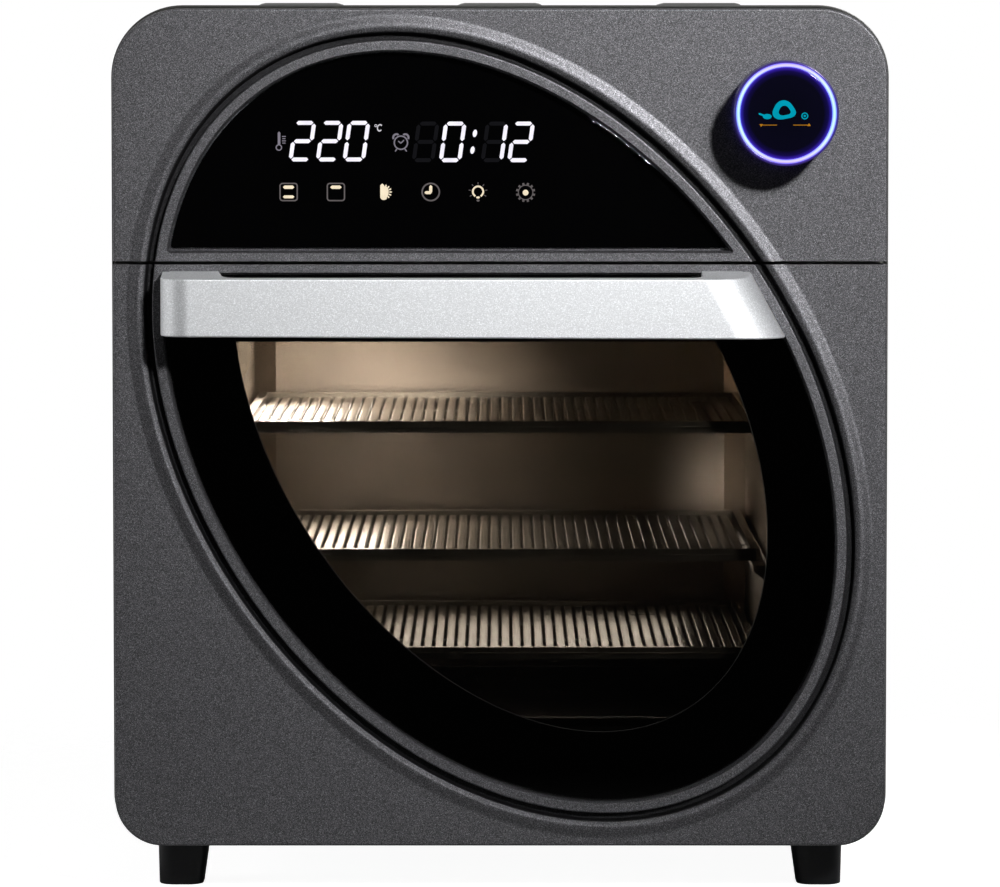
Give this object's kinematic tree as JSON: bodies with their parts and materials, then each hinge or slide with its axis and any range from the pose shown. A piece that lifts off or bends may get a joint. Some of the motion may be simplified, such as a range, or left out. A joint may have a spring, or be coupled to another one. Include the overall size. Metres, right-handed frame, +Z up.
{
  "type": "air fryer oven",
  "caption": "Countertop air fryer oven with a slanted oval glass front, a drop-down door whose racks slide out with it, a turning and pressing knob, and a fan with ring heaters.",
  "frame": {"origin": "middle of the bounding box's bottom face, on the surface under the feet", "axes": "+X to the right seen from the front, +Y from the door to the rear, +Z up"},
  "size_m": [0.342, 0.3422, 0.3928],
  "materials": {
    "housing_paint": "satin charcoal paint",
    "front_moulding": "painted charcoal with a fine metal fleck",
    "plain_steel": "zinc plated sheet",
    "chamber_steel": "satin stainless",
    "element_steel": "oxidised stainless tube",
    "pin_steel": "ground steel",
    "rack_chrome": "bright wire",
    "tray_enamel": "dark non-stick coating",
    "control_glass": "black backed, polished",
    "door_glass": "polished, black border round a clear window",
    "inner_glass": "clear, polished",
    "lamp_glass": "clear",
    "handle_silver": "satin silver with a fine sparkle",
    "knob_metal": "satin charcoal",
    "knob_lens": "black, glossy",
    "ring_light": "frosted light guide",
    "display_plastic": "dark display block",
    "inner_plastic": "moulded black",
    "circuit_board": "green solder mask",
    "seal_rubber": "matt silicone",
    "foot_rubber": "matt black"
  },
  "bodies": {
    "chassis": {"housing_shell": "housing_paint", "base_plate": "plain_steel", "rear_cover": "housing_paint", "foot_front_left": "foot_rubber", "foot_front_right": "foot_rubber", "foot_rear_left": "foot_rubber", "foot_rear_right": "foot_rubber", "front_frame": "plain_steel", "cavity_left_wall": "chamber_steel", "cavity_right_wall": "chamber_steel", "cavity_rear_wall": "chamber_steel", "cavity_ceiling": "chamber_steel", "cavity_floor": "chamber_steel", "fan_housing": "plain_steel", "fan_guard": "chamber_steel", "motor_bracket": "plain_steel", "fan_motor": "plain_steel", "heating_element_upper": "element_steel", "heating_element_lower": "element_steel", "lamp_lens": "lamp_glass", "lamp_holder": "plain_steel", "lamp_bulb": "lamp_glass", "temperature_probe": "element_steel", "thermal_cutout": "inner_plastic", "door_seal": "seal_rubber", "magnetic_catch": "inner_plastic", "reed_switch": "inner_plastic", "cable_gland": "seal_rubber", "control_fascia": "front_moulding", "control_glass": "control_glass", "led_display": "display_plastic", "display_board": "circuit_board", "power_board": "circuit_board", "encoder_body": "inner_plastic", "hinge_bracket_left": "plain_steel", "hinge_bracket_right": "plain_steel", "hinge_pin_left": "pin_steel", "hinge_pin_right": "pin_steel"},
    "door": {"door_frame": "front_moulding", "door_glass_outer": "door_glass", "door_inner_panel": "plain_steel", "door_glass_inner": "inner_glass", "door_handle": "handle_silver", "strike_plate": "pin_steel", "hinge_knuckle_left": "plain_steel", "hinge_knuckle_right": "plain_steel"},
    "upper_rack": {"rack_upper": "rack_chrome"},
    "middle_rack": {"rack_middle": "rack_chrome"},
    "lower_rack": {"rack_lower": "rack_chrome"},
    "tray": {"drip_tray": "tray_enamel"},
    "fan": {"fan_blade": "chamber_steel", "cooling_fan": "inner_plastic", "motor_shaft": "pin_steel"},
    "knob_plunger": {"knob_core": "inner_plastic", "knob_lens": "knob_lens", "knob_light_ring": "ring_light"},
    "knob_grip": {"knob_ring": "knob_metal"}
  },
  "joints": [
    {"name": "door_hinge", "type": "hinge", "parent": "chassis", "child": "door", "pos_m": [0, -0.13165, 0.028], "axis": [1, 0, 0], "range_deg": [0, 80]},
    {"name": "rack_upper_slide", "type": "slide", "parent": "chassis", "child": "upper_rack", "axis": [0, -1, 0], "range_m": [0, 0.196]},
    {"name": "rack_middle_slide", "type": "slide", "parent": "chassis", "child": "middle_rack", "axis": [0, -1, 0], "range_m": [0, 0.14]},
    {"name": "rack_lower_slide", "type": "slide", "parent": "chassis", "child": "lower_rack", "axis": [0, -1, 0], "range_m": [0, 0.084]},
    {"name": "drip_tray_slide", "type": "slide", "parent": "chassis", "child": "tray", "axis": [0, -1, 0], "range_m": [0, 0.042]},
    {"name": "fan_spin", "type": "hinge", "parent": "chassis", "child": "fan", "pos_m": [0, 0.0026, 0.3], "axis": [0, 0, 1], "continuous": true},
    {"name": "knob_press", "type": "slide", "parent": "chassis", "child": "knob_plunger", "axis": [0, 1, 0], "range_m": [0, 0.0006], "stiffness_N_per_m": 2000},
    {"name": "knob_turn", "type": "hinge", "parent": "knob_plunger", "child": "knob_grip", "pos_m": [0.1241, -0.155, 0.3439], "axis": [0, 1, 0], "continuous": true}
  ],
  "couplings": [
    {"joint": "rack_upper_slide", "follows": "door_hinge", "m_per_rad": 0.14},
    {"joint": "rack_middle_slide", "follows": "door_hinge", "m_per_rad": 0.1},
    {"joint": "rack_lower_slide", "follows": "door_hinge", "m_per_rad": 0.06},
    {"joint": "drip_tray_slide", "follows": "door_hinge", "m_per_rad": 0.03}
  ]
}
